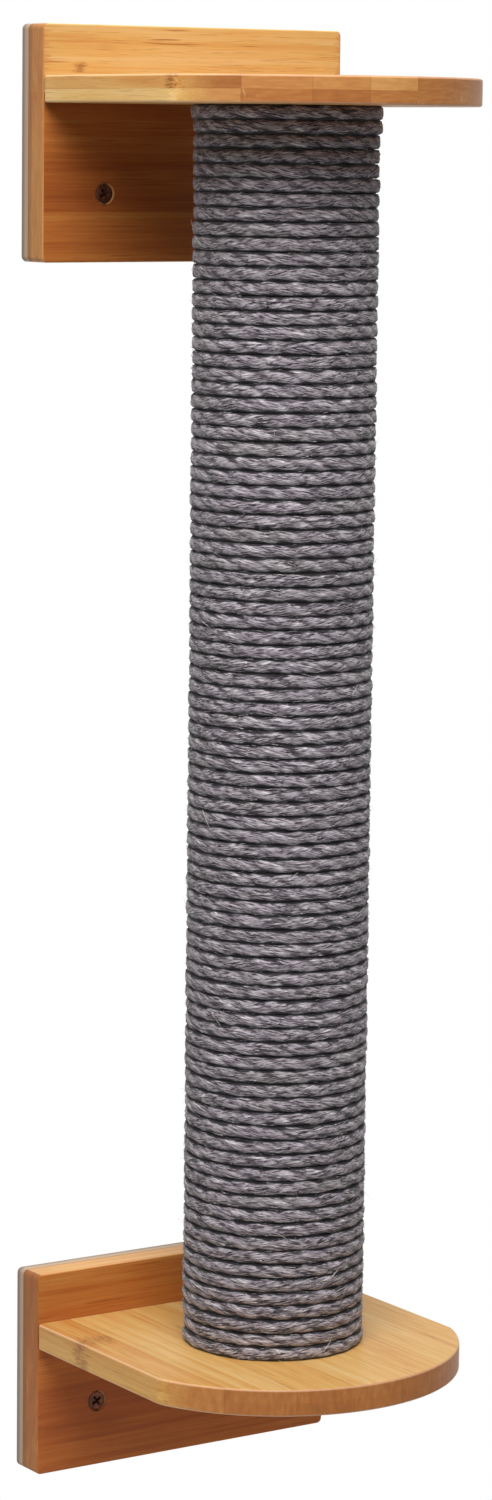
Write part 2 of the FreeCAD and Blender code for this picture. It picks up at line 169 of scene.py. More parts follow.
# Turns at either end of the rope without loose fibres
FIBRE_END = 0.1
SLIVER_COUNT = 6000
SLIVER_LENGTHS = (4.0 * MM, 9.0 * MM)
SLIVER_RADII = (0.11 * MM, 0.20 * MM)
SLIVER_LEAN = 0.16
SLIVER_ARCHES = (0.2 * MM, 0.5 * MM)
SLIVER_TIPS = (-0.2 * MM, 0.25 * MM)
FUZZ_COUNT = 1600
FUZZ_LENGTHS = (2.0 * MM, 6.0 * MM)
FUZZ_RADII = (0.05 * MM, 0.08 * MM)
FUZZ_LEAN = 0.6
FUZZ_ARCH = 0.2 * MM
FUZZ_TIP = 0.3 * MM
FUZZ_TIP_SPREAD = 0.8 * MM
STRAW_SEED = 91
STRAW_COUNT = 22
STRAW_MARGIN = 12 * MM
STRAW_RADIUS = 0.2 * MM
STRAW_LENGTHS = (3.5 * MM, 8.0 * MM)
STRAW_LEAN = 0.9
STRAW_STEPS = 6
# Their distance from the rope at the ends, and how far they arch outwards and upwards
STRAW_SEAT = 0.1 * MM
STRAW_ARCH = 0.5 * MM
STRAW_RISE = 0.6 * MM
# The few straws that show: height, direction round the post, length and lean
STRAWS = (
    (-189 * MM, math.radians(-82), 5 * MM, math.radians(40)),
    (-220 * MM, math.radians(-87), 6 * MM, math.radians(50)),
    (5 * MM, math.radians(-175), 9.5 * MM, math.radians(-55)),
    (241 * MM, math.radians(-173), 3.5 * MM, math.radians(-40)),
)

# Camera and floor
CAMERA_PLACE = (-1.02627, -1.60389, 0.28922)
CAMERA_AZIMUTH = math.radians(-33.67)
CAMERA_PITCH = math.radians(8.02)
CAMERA_ROLL = math.radians(0.65)
CAMERA_LENS = 104.36
CAMERA_SENSOR = 36.0
FLOOR_HEIGHT = -0.75
FLOOR_RADIUS = 1.1
FLOOR_SETBACK = 0.1
FLOOR_SIDES = 64


# Mesh helpers


def add_ring(bm, points):
    """New vertices at the given points, as one loop."""
    return [bm.verts.new(point) for point in points]


def bridge(bm, first, second):
    """Faces between two closed loops with the same number of vertices."""
    count = len(first)
    for i in range(count):
        j = (i + 1) % count
        bm.faces.new((first[i], first[j], second[j], second[i]))


def bridge_all(bm, rings):
    """Faces along a whole row of loops."""
    for first, second in zip(rings, rings[1:]):
        bridge(bm, first, second)


def fill(bm, loops):
    """A flat face inside the first loop, with the other loops as holes in it."""
    edges = []
    for loop in loops:
        for i, vert in enumerate(loop):
            pair = (vert, loop[(i + 1) % len(loop)])
            edges.append(bm.edges.get(pair) or bm.edges.new(pair))
    bmesh.ops.triangle_fill(bm, use_beauty=True, use_dissolve=False, edges=edges)


def circle(radius, count):
    """Points of a circle in its own plane."""
    angles = [FULL_TURN * i / count for i in range(count)]
    return [(radius * math.cos(a), radius * math.sin(a)) for a in angles]


def rotated(outline, angle):
    """The same outline, turned about its middle."""
    c, s = math.cos(angle), math.sin(angle)
    return [(x * c - y * s, x * s + y * c) for x, y in outline]


def clamped(share):
    """A share kept between 0 and 1."""
    return max(0.0, min(1.0, share))


def eased(share):
    """A share from 0 to 1 that starts and stops gently."""
    return share * share * (3 - 2 * share)


def finished_mesh(name, bm):
    """The mesh of a form in the making, with its sharp edges marked."""
    bmesh.ops.recalc_face_normals(bm, faces=bm.faces)
    for edge in bm.edges:
        if len(edge.link_faces) == 2 and edge.calc_face_angle() > SHARP_ANGLE:
            edge.smooth = False
    mesh = bpy.data.meshes.new(name)
    bm.to_mesh(mesh)
    bm.free()
    return mesh


def link_object(name, data):
    """A new object in the scene."""
    made = bpy.data.objects.new(name, data)
    bpy.context.scene.collection.objects.link(made)
    return made


def place_piece(name, mesh, material, slot, *nodes):
    """Put a finished mesh into the scene as a piece that rides on the object and stands for CAD nodes."""
    for polygon in mesh.polygons:
        polygon.use_smooth = True
    mesh.materials.append(material)
    piece = link_object(name, mesh)
    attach(piece, BODY)
    if nodes:
        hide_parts(*nodes)


# Material helpers


class Graph:
    """The nodes of a material or a world, put together with short calls."""

    def __init__(self, owner):
        owner.use_nodes = True
        self.owner = owner
        self.tree = owner.node_tree
        self.tree.nodes.clear()

    def node(self, kind, **settings):
        made = self.tree.nodes.new("ShaderNode" + kind)
        for name, value in settings.items():
            setattr(made, name, value)
        return made

    def feed(self, socket, value):
        """Link a socket to another one, or give it a fixed value."""
        if isinstance(value, bpy.types.NodeSocket):
            self.tree.links.new(value, socket)
        elif isinstance(value, tuple) and len(value) == 3 and socket.type == "RGBA":
            socket.default_value = (*value, 1.0)
        else:
            socket.default_value = value

    def wire(self, node, *values, **named):
        """Feed a node's first sockets in turn and others by name, and give back its first output."""
        for socket, value in zip(node.inputs, values):
            self.feed(socket, value)
        for name, value in named.items():
            self.feed(node.inputs[name.replace("_", " ")], value)
        return node.outputs[0]

    def math(self, operation, *values, clamp=False):
        return self.wire(self.node("Math", operation=operation, use_clamp=clamp), *values)

    def plus(self, first, second):
        return self.math("ADD", first, second)

    def minus(self, first, second):
        return self.math("SUBTRACT", first, second)

    def times(self, first, second):
        return self.math("MULTIPLY", first, second)

    def gap(self, value, place):
        """How far a value is from a place."""
        return self.math("ABSOLUTE", self.minus(value, place))

    def swing(self, noise, middle, spread):
        """A value that a noise from 0 to 1 moves up and down about its middle."""
        return self.plus(middle, self.math("MULTIPLY_ADD", noise, spread, -spread / 2))

    def blend(self, share, first, second):
        """A number that goes from the first to the second with a share."""
        return self.math("MULTIPLY_ADD", self.minus(second, first), share, first)

    def vector(self, x, y, z):
        return self.wire(self.node("CombineXYZ"), x, y, z)

    def split(self, vector):
        made = self.node("SeparateXYZ")
        self.wire(made, vector)
        return tuple(made.outputs)

    def scaled(self, parts, scales, shift=0.0):
        return self.vector(*(self.math("MULTIPLY_ADD", *pair, shift) for pair in zip(parts, scales)))

    def noise(self, vector, scale=1.0, detail=2.0, roughness=0.5):
        made = self.node("TexNoise")
        return self.wire(made, Vector=vector, Scale=scale, Detail=detail, Roughness=roughness)

    def chance(self, vector):
        """A number from 0 to 1 that is each whole vector's own."""
        return self.wire(self.node("TexWhiteNoise", noise_dimensions="3D"), Vector=vector)

    def fade(self, value, low, high, to_low, to_high, kind="SMOOTHSTEP"):
        """Go from one number to another while the value goes from low to high."""
        return self.wire(self.node("MapRange", interpolation_type=kind), value, low, high, to_low, to_high)

    def above(self, value, low, high, share=1.0):
        """A share that comes in while the value goes from low to high."""
        return self.fade(value, low, high, 0.0, share)

    def below(self, value, low, high, share=1.0):
        """A share that goes out while the value goes from low to high."""
        return self.fade(value, low, high, share, 0.0)

    def mix(self, share, first, second):
        """A colour between two others. The node's sockets go by number because their names repeat."""
        made = self.node("Mix", data_type="RGBA")
        for number, value in ((0, share), (6, first), (7, second)):
            self.feed(made.inputs[number], value)
        return made.outputs[2]

    def ramp(self, value, *stops, kind="LINEAR"):
        made = self.node("ValToRGB")
        made.color_ramp.interpolation = kind
        elements = made.color_ramp.elements
        while len(elements) < len(stops):
            elements.new(0.5)
        for element, (place, tint) in zip(elements, stops):
            element.position = place
            element.color = (*tint, 1.0)
        return self.wire(made, value)

    def place(self):
        """The point's place on the object, in metres."""
        return self.node("TexCoord").outputs["Object"]

    def towards(self, axis):
        """How much the surface faces along one of the object's axes, from 0 to 1."""
        return self.math("ABSOLUTE", self.split(self.node("TexCoord").outputs["Normal"])[axis])

    def stored(self, name, output):
        """A value that the mesh holds at each point."""
        return self.node("Attribute", attribute_name=name).outputs[output]

    def surface(self, tint, roughness, height=None, depth=0.0, strength=1.0, **fixed):
        """The finished shader: colour, roughness and an optional bump, with fixed values by socket name."""
        if height is not None:
            fixed["Normal"] = self.wire(self.node("Bump"), Strength=strength, Distance=depth, Height=height)
        shader = self.wire(self.node("BsdfPrincipled"), Base_Color=tint, Roughness=roughness, **fixed)
        self.feed(self.node("OutputMaterial").inputs["Surface"], shader)
        return self.owner


def material_graph(name):
    """The empty nodes of a new material."""
    return Graph(bpy.data.materials.new(name))


def colour(red, green, blue):
    """A linear colour from the 0 to 255 values of a picture."""
    made = []
    for value in (red, green, blue):
        share = value / 255
        made.append(share / 12.92 if share <= 0.04045 else ((share + 0.055) / 1.055) ** 2.4)
    return tuple(made)


# Bamboo

# From dark knuckle brown to the palest strips, on the faces and on the ends of the fibres
FACE_PALETTE = (
    (0.00, colour(98, 42, 18)),
    (0.30, colour(170, 88, 38)),
    (0.45, colour(200, 118, 54)),
    (0.60, colour(217, 150, 76)),
    (0.78, colour(236, 188, 110)),
    (1.00, colour(248, 218, 158)),
)
END_PALETTE = (
    (0.00, colour(110, 60, 30)),
    (0.35, colour(166, 102, 52)),
    (0.65, colour(199, 142, 81)),
    (1.00, colour(229, 187, 128)),
)
# A plate's rear ply from its glue line to the wall: a dark line, a pale band and a grey band
REAR_PALETTE = (
    (0.64, colour(104, 66, 42)),
    (0.69, colour(192, 170, 144)),
    (0.79, colour(186, 166, 144)),
    (0.87, colour(142, 128, 120)),
    (1.00, colour(128, 116, 110)),
)
KNUCKLE = colour(132, 68, 32)
VESSEL = colour(150, 82, 34)
GLUE = colour(124, 70, 34)
SOAKED = colour(198, 122, 66)
TICK = colour(228, 188, 128)
PALE = colour(240, 208, 150)
# Paler bamboo on the rounded edges, partly wear and partly a painted highlight
WORN_AND_HIGHLIGHT = colour(244, 206, 172)
# Painted shade in the countersinks of the wall screws
HOLE_SHADE = colour(72, 34, 18)
BROWN_END = colour(128, 78, 42)

# Streaks along the grain: waves per metre along and across it, detail and a start of their own
FINE = (18.0, 1500.0, 2.0, 0.0)
RAGGED = (90.0, 700.0, 2.0, 2.0)
BROAD = (7.0, 260.0, 3.0, 5.0)
CLOUDS = (14.0, 30.0, 2.0, 9.0)
DASHES = (70.0, 2300.0, 1.0, 3.0)
LINES = (26.0, 800.0, 1.0, 7.0)
BREAKS = (240.0, 900.0, 2.0, 13.0)
STRIP_START = 40.0


class Bamboo(Graph):
    """Laminated bamboo: strips with their own tone, plies, fibres, knuckles and end grain.

    axes are the numbers of the axes along the grain, across the strips and through the plies.
    strips is (width, start, tone of each strip) and plies is (thickness, start, number, how much darker each
    next one is on the board's flanks).
    """

    def __init__(self, name, axes, strips, plies, seed):
        super().__init__(bpy.data.materials.new(name))
        parts = self.split(self.place())
        self.parts = [parts[axis] for axis in axes]
        self.along, self.side, self.deep = self.parts
        self.facing_end, self.facing_side, self.flat = (self.towards(axis) for axis in axes)
        self.seed = seed
        width, start, self.tones = strips
        thickness, ply_start, self.ply_count, self.ply_step = plies
        self.strip_place = self.math("DIVIDE", self.minus(self.side, start), width)
        self.strip_number = self.math("FLOOR", self.strip_place)
        self.ply_place = self.math("DIVIDE", self.minus(self.deep, ply_start), thickness)
        number = self.math("MAXIMUM", self.math("FLOOR", self.ply_place), 0.0)
        self.ply_number = self.math("MINIMUM", number, self.ply_count - 1.0)
        self.depth_share = self.math("DIVIDE", self.ply_place, self.ply_count)
        self.own = self.chance(self.vector(self.strip_number, self.ply_number, seed))
        self.fine = self.streak(*FINE)
        self.ragged = self.streak(*RAGGED)

    def streak(self, run, pack, detail, start):
        """Noise drawn out along the grain, with its own start in each strip."""
        start = self.math("MULTIPLY_ADD", self.own, STRIP_START, start + self.seed)
        along = self.math("MULTIPLY_ADD", self.along, run, start)
        place = self.vector(along, self.times(self.side, pack), self.times(self.deep, pack))
        return self.noise(place, detail=detail, roughness=0.6)

    def by_strip(self, tones):
        """The value that belongs to the strip."""
        count = len(tones)
        stops = [((i + 0.001) / count, (tone, tone, tone)) for i, tone in enumerate(tones)]
        place = self.math("DIVIDE", self.plus(self.strip_number, 0.5), count)
        return self.ramp(place, *stops, kind="CONSTANT")

    def by_block(self, low_tones, high_tones):
        """The value that belongs to the strip in the lower or the upper of two plies."""
        return self.blend(self.ply_number, self.by_strip(low_tones), self.by_strip(high_tones))

    def face(self, rear_tones=None):
        """Colour of the board's faces before its marks. The last ply can have tones of its own."""
        value = self.by_strip(self.tones)
        if rear_tones:
            last = self.math("GREATER_THAN", self.ply_number, self.ply_count - 1.5)
            value = self.blend(last, value, self.by_strip(rear_tones))
        value = self.swing(self.fine, value, 0.26)
        value = self.swing(self.streak(*BROAD), value, 0.44)
        value = self.swing(self.streak(*CLOUDS), value, 0.22)
        value = self.swing(self.own, value, 0.06)
        step = self.times(self.ply_number, self.below(self.flat, 0.5, 0.8, self.ply_step))
        return self.ramp(self.minus(value, step), *FACE_PALETTE)

    def vessels(self, base, line_share):
        """Short dark dashes and longer thin streaks along the grain."""
        base = self.mix(self.above(self.streak(*DASHES), 0.60, 0.76, 0.40), base, VESSEL)
        return self.mix(self.above(self.streak(*LINES), 0.64, 0.72, line_share), base, VESSEL)

    def knuckle(self, base, place, low, high, lowest, half, share):
        """A short brown band across one strip, broken into dashes."""
        soft = 0.8 * MM
        gap = self.swing(self.ragged, self.gap(self.along, place), 2.4 * half)
        band = self.below(gap, 0.15 * half, half, share)
        band = self.times(band, self.above(self.side, low - soft, low))
        band = self.times(band, self.below(self.side, high, high + soft))
        band = self.times(band, self.above(self.deep, lowest - 0.3 * MM, lowest))
        broken = self.fade(self.streak(*BREAKS), 0.38, 0.58, 0.3, 1.0)
        return self.mix(self.times(band, broken), base, KNUCKLE)

    def glue_line(self, base, place, inner, outer, share):
        """Thin lines where strips or plies meet."""
        gap = self.gap(self.math("FRACT", place), 0.5)
        return self.mix(self.above(gap, inner, outer, share), base, GLUE)

    def strip_lines(self, base, share):
        return self.glue_line(base, self.strip_place, 0.486, 0.497, share)

    def ply_lines(self, base, share):
        return self.glue_line(base, self.ply_place, 0.465, 0.492, self.below(self.flat, 0.5, 0.9, share))

    def lacquer(self, base, flank_share, face_share):
        """The brown tint of the lacquer, on the narrow faces and on the two large ones."""
        return self.mix(self.fade(self.flat, 0.5, 0.9, flank_share, face_share), base, GLUE)

    def soaked_ends(self, base, half_width, share, lowest):
        """A ragged darker fringe above a level, where lacquer has soaked into the fibres from the ends."""
        reach = self.minus(half_width, self.gap(self.along, 0.0))
        reach = self.swing(self.ragged, reach, 22 * MM)
        fringe = self.below(reach, 0.5 * MM, 2.4 * MM, share)
        fringe = self.times(fringe, self.above(self.side, lowest - 1 * MM, lowest))
        return self.mix(fringe, base, SOAKED)

    def shaded_holes(self, base, away, level, radius):
        """Painted shade round two holes in the front ply, one to each side of the middle, where the
        countersinks are darkened as if in shadow.
        """
        aside = self.minus(self.gap(self.along, 0.0), away)
        rise = self.minus(self.side, level)
        gap = self.math("SQRT", self.plus(self.times(aside, aside), self.times(rise, rise)))
        share = self.below(gap, radius - 0.1 * MM, radius + 0.5 * MM, 0.85)
        front = self.math("SUBTRACT", 1.0, self.ply_number, clamp=True)
        return self.mix(self.times(share, front), base, HOLE_SHADE)

    def worn_and_highlit_edges(self, base, share):
        """The rounded edges, where the bamboo shows paler: partly wear, partly a painted highlight."""
        edge = self.times(self.above(self.flat, 0.12, 0.45), self.below(self.flat, 0.80, 0.97, share))
        return self.mix(edge, base, WORN_AND_HIGHLIGHT)

    def pale_edges(self, base, share):
        """The narrow faces across the strips, which show paler bamboo."""
        return self.mix(self.above(self.facing_side, 0.5, 0.9, share), base, PALE)

    def end_tone(self, bottom, top, low, high):
        """A tone for the cut ends that goes from one end of the board to the other and wanders on the way."""
        place = self.vector(self.seed, self.times(self.side, 34.0), self.times(self.deep, 190.0))
        return self.swing(self.noise(place, detail=1.0), self.fade(self.side, low, high, bottom, top), 0.3)

    def end_grain(self, tone, across, through):
        """Colour of the cut ends of the fibres, in streaks across or through the plies."""
        dots = self.noise(self.scaled(self.parts, (120.0, across, through)))
        return self.ramp(self.swing(dots, tone, 0.34), *END_PALETTE)

    def ticks(self, end):
        """Short pale marks up and down the cut ends of the lower ply, in a few places."""
        deep = self.math("MULTIPLY_ADD", self.deep, 120.0, self.seed)
        place = self.vector(self.times(self.along, 40.0), self.times(self.side, 60.0), deep)
        where = self.noise(place, detail=1.0)
        mark = self.noise(self.scaled(self.parts, (300.0, 900.0, 180.0)), detail=1.0)
        share = self.times(self.above(where, 0.50, 0.60), self.above(mark, 0.60, 0.70, 0.45))
        return self.mix(self.times(share, self.minus(1.0, self.ply_number)), end, TICK)

    def brown_band(self, end):
        """The cut ends are browner next to the rear ply."""
        return self.mix(self.above(self.depth_share, 0.46, 0.56, 0.5), end, BROWN_END)

    def rear_ply(self, base):
        """The narrow faces of a plate's rear ply, in bands from a dark line at the glue to grey towards the
        wall.
        """
        share = self.times(self.above(self.depth_share, 0.62, 0.66, 0.8), self.below(self.flat, 0.4, 0.8))
        return self.mix(share, base, self.ramp(self.depth_share, *REAR_PALETTE))

    def finish(self, base, end, first, full):
        """The lacquered board: its face colour, and the end colour where it faces along the grain."""
        base = self.mix(self.above(self.facing_end, first, full, 0.95), base, end)
        roughness = self.swing(self.fine, 0.44, 0.16)
        return self.surface(base, roughness, self.fine, depth=0.08 * MM, strength=0.35,
                            Specular_IOR_Level=0.2)


def plate_bamboo(name, facts, low, high, screw_z):
    """A back plate's bamboo, with its grain from side to side."""
    plies = (PLATE_PLY, low.y, PLATE_PLIES, 0.0)
    board = Bamboo(name, (0, 2, 1), facts["plate_strips_and_shade"], plies, facts["seed"])
    base = board.vessels(board.face(REAR_TONES), line_share=0.65)
    for knuckle in facts["plate_knuckles"]:
        base = board.knuckle(base, *knuckle)
    base = board.lacquer(board.ply_lines(base, share=0.3), flank_share=0.0, face_share=0.3)
    base = board.soaked_ends(base, high.x, *facts["soak"])
    base = board.pale_edges(base, facts["pale_share"])
    base = board.shaded_holes(base, WALL_SCREW["away"], screw_z, COUNTERSINK)
    tone = board.end_tone(*facts["plate_ends"], low.z, high.z)
    end = board.brown_band(board.end_grain(tone, across=120.0, through=1100.0))
    return board.finish(board.rear_ply(base), board.rear_ply(end), first=0.05, full=0.32)


def shelf_bamboo(name, facts, low):
    """A shelf's bamboo, with its grain from the wall to the front."""
    plies = (SHELF_PLY, low.z, SHELF_PLIES, facts["shelf_ply_step"])
    board = Bamboo(name, (1, 0, 2), facts["shelf_strips"], plies, facts["seed"] + 1)
    base = board.vessels(board.face(), line_share=0.35)
    for knuckle in facts["shelf_knuckles"]:
        base = board.knuckle(base, *knuckle)
    base = board.ply_lines(board.strip_lines(base, share=0.35), facts["shelf_ply_line"])
    base = board.lacquer(base, facts["flank_lacquer"], face_share=0.3)
    base = board.worn_and_highlit_edges(base, share=0.4)
    end = board.end_grain(board.by_block(*facts["rim_tones"]), *facts["rim_streaks"])
    if facts["rim_ticks"]:
        end = board.ticks(end)
    end = board.worn_and_highlit_edges(board.strip_lines(end, share=0.25), share=0.3)
    return board.finish(base, end, first=0.25, full=0.62)


# Sisal

# Waves per metre along the rope, out of it and up across it
SISAL_PATCHES = (45.0, 110.0, 110.0)
SISAL_FIBRES = (240.0, 1900.0, 1900.0)
SISAL_BUNDLES = (120.0, 800.0, 800.0)
SISAL_STAINS = (16.0, 60.0, 60.0)
SISAL_SLITS = (100.0, 700.0, 700.0)
SISAL_WAVER = 70.0
SISAL_SLANT = 0.22
SISAL_PALETTE = (
    (0.08, colour(40, 35, 40)),
    (0.36, colour(128, 119, 126)),
    (0.56, colour(159, 151, 158)),
    (0.80, colour(179, 172, 177)),
    (1.00, colour(218, 212, 213)),
)
SISAL_STAIN = colour(146, 146, 128)
# The three colours below are painted shade: in slits between the fibres, in the creases, and in the gaps
# between turns and at the foot.
SISAL_SLIT_SHADE = colour(34, 29, 34)
SISAL_CREASE_SHADE = colour(46, 41, 47)
SISAL_GAP_SHADE = colour(22, 18, 23)


def sisal(foot):
    """Grey dyed sisal: fibre streaks along the rope, with painted shade in the slits between fibres, in its
    creases and between its turns, and a painted contact shadow at its foot.
    """
    g = material_graph("grey_sisal")
    place = g.split(g.stored("fibre_place", "Vector"))
    along, out, up = place
    crest = g.stored("crest", "Fac")
    patch = g.noise(g.scaled(place, SISAL_PATCHES, 3.0))
    slants = []
    for slope in (-SISAL_SLANT, SISAL_SLANT):
        leaning = (along, out, g.math("MULTIPLY_ADD", along, slope, up))
        slants.append(g.noise(g.scaled(leaning, SISAL_FIBRES, 5.0 * slope), roughness=0.6))
    fine = g.blend(g.above(patch, 0.44, 0.56), *slants)
    bundle = g.noise(g.scaled(place, SISAL_BUNDLES, 7.0))
    value = g.swing(fine, g.swing(bundle, g.swing(patch, 0.49, 0.12), 0.8), 2.7)
    base = g.ramp(value, *SISAL_PALETTE)
    stain = g.noise(g.scaled(place, SISAL_STAINS, 11.0), detail=1.0)
    base = g.mix(g.above(stain, 0.56, 0.72, 0.16), base, SISAL_STAIN)
    # Dark slits between the fibres, most of them near the creases: painted shade.
    slit = g.noise(g.scaled(place, SISAL_SLITS, 19.0), detail=1.0)
    slit = g.minus(slit, g.times(crest, 0.06))
    base = g.mix(g.above(slit, 0.55, 0.63, 0.75), base, SISAL_SLIT_SHADE)
    # Painted shade in the creases between the strands.
    base = g.mix(g.below(crest, 0.0, 0.5, 0.42), base, SISAL_CREASE_SHADE)
    # Painted shade in the gap under each turn, wavy along the rope.
    waver = g.noise(g.vector(g.times(along, SISAL_WAVER), g.math("SIGN", up), 23.0))
    edge = g.swing(bundle, g.gap(up, 0.0), 2.4 * MM)
    edge = g.swing(waver, g.swing(crest, edge, -0.7 * MM), -1.8 * MM)
    base = g.mix(g.above(edge, 1.95 * MM, 2.5 * MM, 0.95), base, SISAL_GAP_SHADE)
    # A painted contact shadow at the rope's foot on the shelf.
    height = g.split(g.place())[2]
    base = g.mix(g.below(height, foot + 0.5 * MM, foot + 1.5 * MM, 0.95), base, SISAL_GAP_SHADE)
    return g.surface(base, 0.85, fine, depth=0.5 * MM, strength=0.9,
                     Specular_IOR_Level=0.2, Sheen_Weight=0.35, Sheen_Roughness=0.45)


def loose_fibre(name, *tints):
    """Stray sisal fibres, each a little different, from dark to pale."""
    g = material_graph(name)
    tint = g.noise(g.place(), scale=700.0, detail=1.0)
    base = g.ramp(tint, *zip((0.34, 0.50, 0.70), tints))
    return g.surface(base, 0.8, Specular_IOR_Level=0.3)


# Other materials


def metal(name, dark, light, roughness, metallic):
    """Plated or bronzed steel with fine turning marks and small stains."""
    g = material_graph(name)
    place = g.place()
    stain = g.noise(place, scale=420.0, detail=3.0)
    turning = g.noise(place, scale=2600.0, detail=1.0)
    base = g.ramp(stain, (0.34, dark), (0.66, light))
    rough = g.swing(turning, roughness, 0.2)
    return g.surface(base, rough, turning, depth=0.03 * MM, strength=0.3, Metallic=metallic)


def cardboard():
    """The post's wound cardboard tube, with faint spiral seams."""
    g = material_graph("wound_cardboard")
    place = g.place()
    x, y, z = g.split(place)
    pulp = g.noise(place, scale=700.0, detail=3.0)
    angle = g.math("ARCTAN2", g.plus(y, POST_SETBACK), x)
    seam = g.math("FRACT", g.plus(g.times(z, 14.0), g.math("DIVIDE", angle, FULL_TURN)))
    base = g.ramp(pulp, (0.3, colour(140, 110, 78)), (0.7, colour(184, 152, 112)))
    base = g.mix(g.above(g.gap(seam, 0.5), 0.47, 0.49, 0.5), base, colour(110, 84, 58))
    return g.surface(base, 0.9, pulp, depth=0.1 * MM, strength=0.4)


def plain_wood(name, dark, light, grain):
    """Turned softwood or beech with grain along one axis."""
    g = material_graph(name)
    scales = [30.0 if axis == grain else 700.0 for axis in range(3)]
    streak = g.noise(g.scaled(g.split(g.place()), scales))
    base = g.ramp(streak, (0.34, dark), (0.66, light))
    return g.surface(base, 0.6, streak, depth=0.1 * MM, strength=0.4)


def studio_floor():
    """A pale matt floor with a trace of mottling."""
    g = material_graph("studio_floor")
    mottle = g.noise(g.place(), scale=6.0)
    base = g.ramp(mottle, (0.3, (0.80, 0.80, 0.80)), (0.7, (0.84, 0.84, 0.84)))
    return g.surface(base, 0.9)


# Boards


def arc(centre, radius, start, stop, steps):
    """Points of an arc with their outward directions."""
    made = []
    for i in range(steps + 1):
        angle = start + (stop - start) * i / steps
        out = (math.cos(angle), math.sin(angle))
        made.append((centre[0] + radius * out[0], centre[1] + radius * out[1], *out))
    return made


def plate_outline(width, height):
    """A rectangle with rounded corners, about its own middle."""
    across = width / 2 - PLATE_CORNER
    up = height / 2 - PLATE_CORNER
    made = []
    for turn, (sx, sz) in enumerate(((1, 1), (-1, 1), (-1, -1), (1, -1))):
        start = turn * QUARTER
        made += arc((sx * across, sz * up), PLATE_CORNER, start, start + QUARTER, CORNER_STEPS)
    return made


def shelf_outline(half, rear):
    """Straight sides from the plate, then a round front about the post."""
    centre_x = half - SHELF_FRONT_CORNER
    reach = SHELF_FRONT_RADIUS - SHELF_FRONT_CORNER
    centre_y = math.sqrt(reach ** 2 - centre_x ** 2)
    meet = math.atan2(centre_y, centre_x)
    post = -POST_SETBACK
    corner = SHELF_REAR_CORNER
    made = arc((half - corner, rear - corner), corner, 0.0, QUARTER, CORNER_STEPS)
    made += arc((corner - half, rear - corner), corner, QUARTER, math.pi, CORNER_STEPS)
    made += arc((-centre_x, post - centre_y), SHELF_FRONT_CORNER, math.pi, math.pi + meet, CORNER_STEPS)
    made += arc((0.0, post), SHELF_FRONT_RADIUS, math.pi + meet, FULL_TURN - meet, FRONT_STEPS)[1:-1]
    made += arc((centre_x, post - centre_y), SHELF_FRONT_CORNER, -meet, 0.0, CORNER_STEPS)
    return made


def rim_levels(face, ease, way):
    """Levels and insets of a rounded edge that starts on a face and goes up or down the rim."""
    levels = [(face, ease + EASE_MARGIN)]
    for i in range(EASE_STEPS + 1):
        angle = QUARTER * i / EASE_STEPS
        levels.append((face + way * ease * (1 - math.cos(angle)), ease * (1 - math.sin(angle))))
    levels.append((face + way * (ease + EASE_MARGIN), 0.0))
    return levels


def board_rings(bm, outline, low, high, eases, place):
    """The rounded rim of a board. Gives back the loops that it leaves open in the two faces."""
    levels = rim_levels(low, eases[0], 1) + rim_levels(high, eases[1], -1)[::-1]
    rings = []
    for level, inset in levels:
        points = [place(u - nu * inset, v - nv * inset, level) for u, v, nu, nv in outline]
        rings.append(add_ring(bm, points))
    bridge_all(bm, rings)
    return rings[0], rings[-1]


def sunk_hole(bm, centre, steps, place, sides):
    """The wall of a hole in a board, given as (level, radius). Gives back its first and last loops."""
    rings = []
    for level, radius in steps:
        points = [place(centre[0] + x, centre[1] + y, level) for x, y in circle(radius, sides)]
        rings.append(add_ring(bm, points))
    bridge_all(bm, rings)
    return rings[0], rings[-1]


def countersunk_steps(face, way, hole, bottom):
    """Levels and radii of a countersunk hole that goes from a face to its bottom."""
    return (
        (face, COUNTERSINK),
        (face + way * COUNTERSINK_LIP, COUNTERSINK - COUNTERSINK_LIP_INSET),
        (face + way * (COUNTERSINK - hole), hole),
        (bottom, hole),
    )


def back_plate(name, node, shelf_node, screw_z, material):
    """A plate with rounded edges, countersunk wall screw holes in front and bracket screw holes behind."""
    low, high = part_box(node)
    shelf_low, shelf_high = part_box(shelf_node)
    middle_x = (low.x + high.x) / 2
    middle_z = (low.z + high.z) / 2
    joint_z = (shelf_low.z + shelf_high.z) / 2
    bm = bmesh.new()

    def place(u, v, level):
        return Vector((middle_x + u, level, middle_z + v))

    outline = plate_outline(high.x - low.x, high.z - low.z)
    front, back = board_rings(bm, outline, low.y, high.y, (PLATE_FRONT_EASE, PLATE_BACK_EASE), place)
    front_loops = [front]
    back_loops = [back]
    wall_steps = countersunk_steps(low.y, 1, WALL_HOLE, high.y)
    bracket_steps = countersunk_steps(high.y, -1, BRACKET_HOLE, high.y - BRACKET_HOLE_DEPTH)
    for side in (-1, 1):
        centre = (side * WALL_SCREW["away"] - middle_x, screw_z - middle_z)
        mouth, bottom = sunk_hole(bm, centre, wall_steps, place, SCREW_HOLE_SIDES)
        front_loops.append(mouth)
        back_loops.append(bottom)
        centre = (side * BRACKET_SCREW["away"] - middle_x, joint_z - middle_z)
        mouth, bottom = sunk_hole(bm, centre, bracket_steps, place, SCREW_HOLE_SIDES)
        back_loops.append(mouth)
        bm.faces.new(bottom)
    fill(bm, front_loops)
    fill(bm, back_loops)
    place_piece(name, finished_mesh(name, bm), material, "bamboo", node)


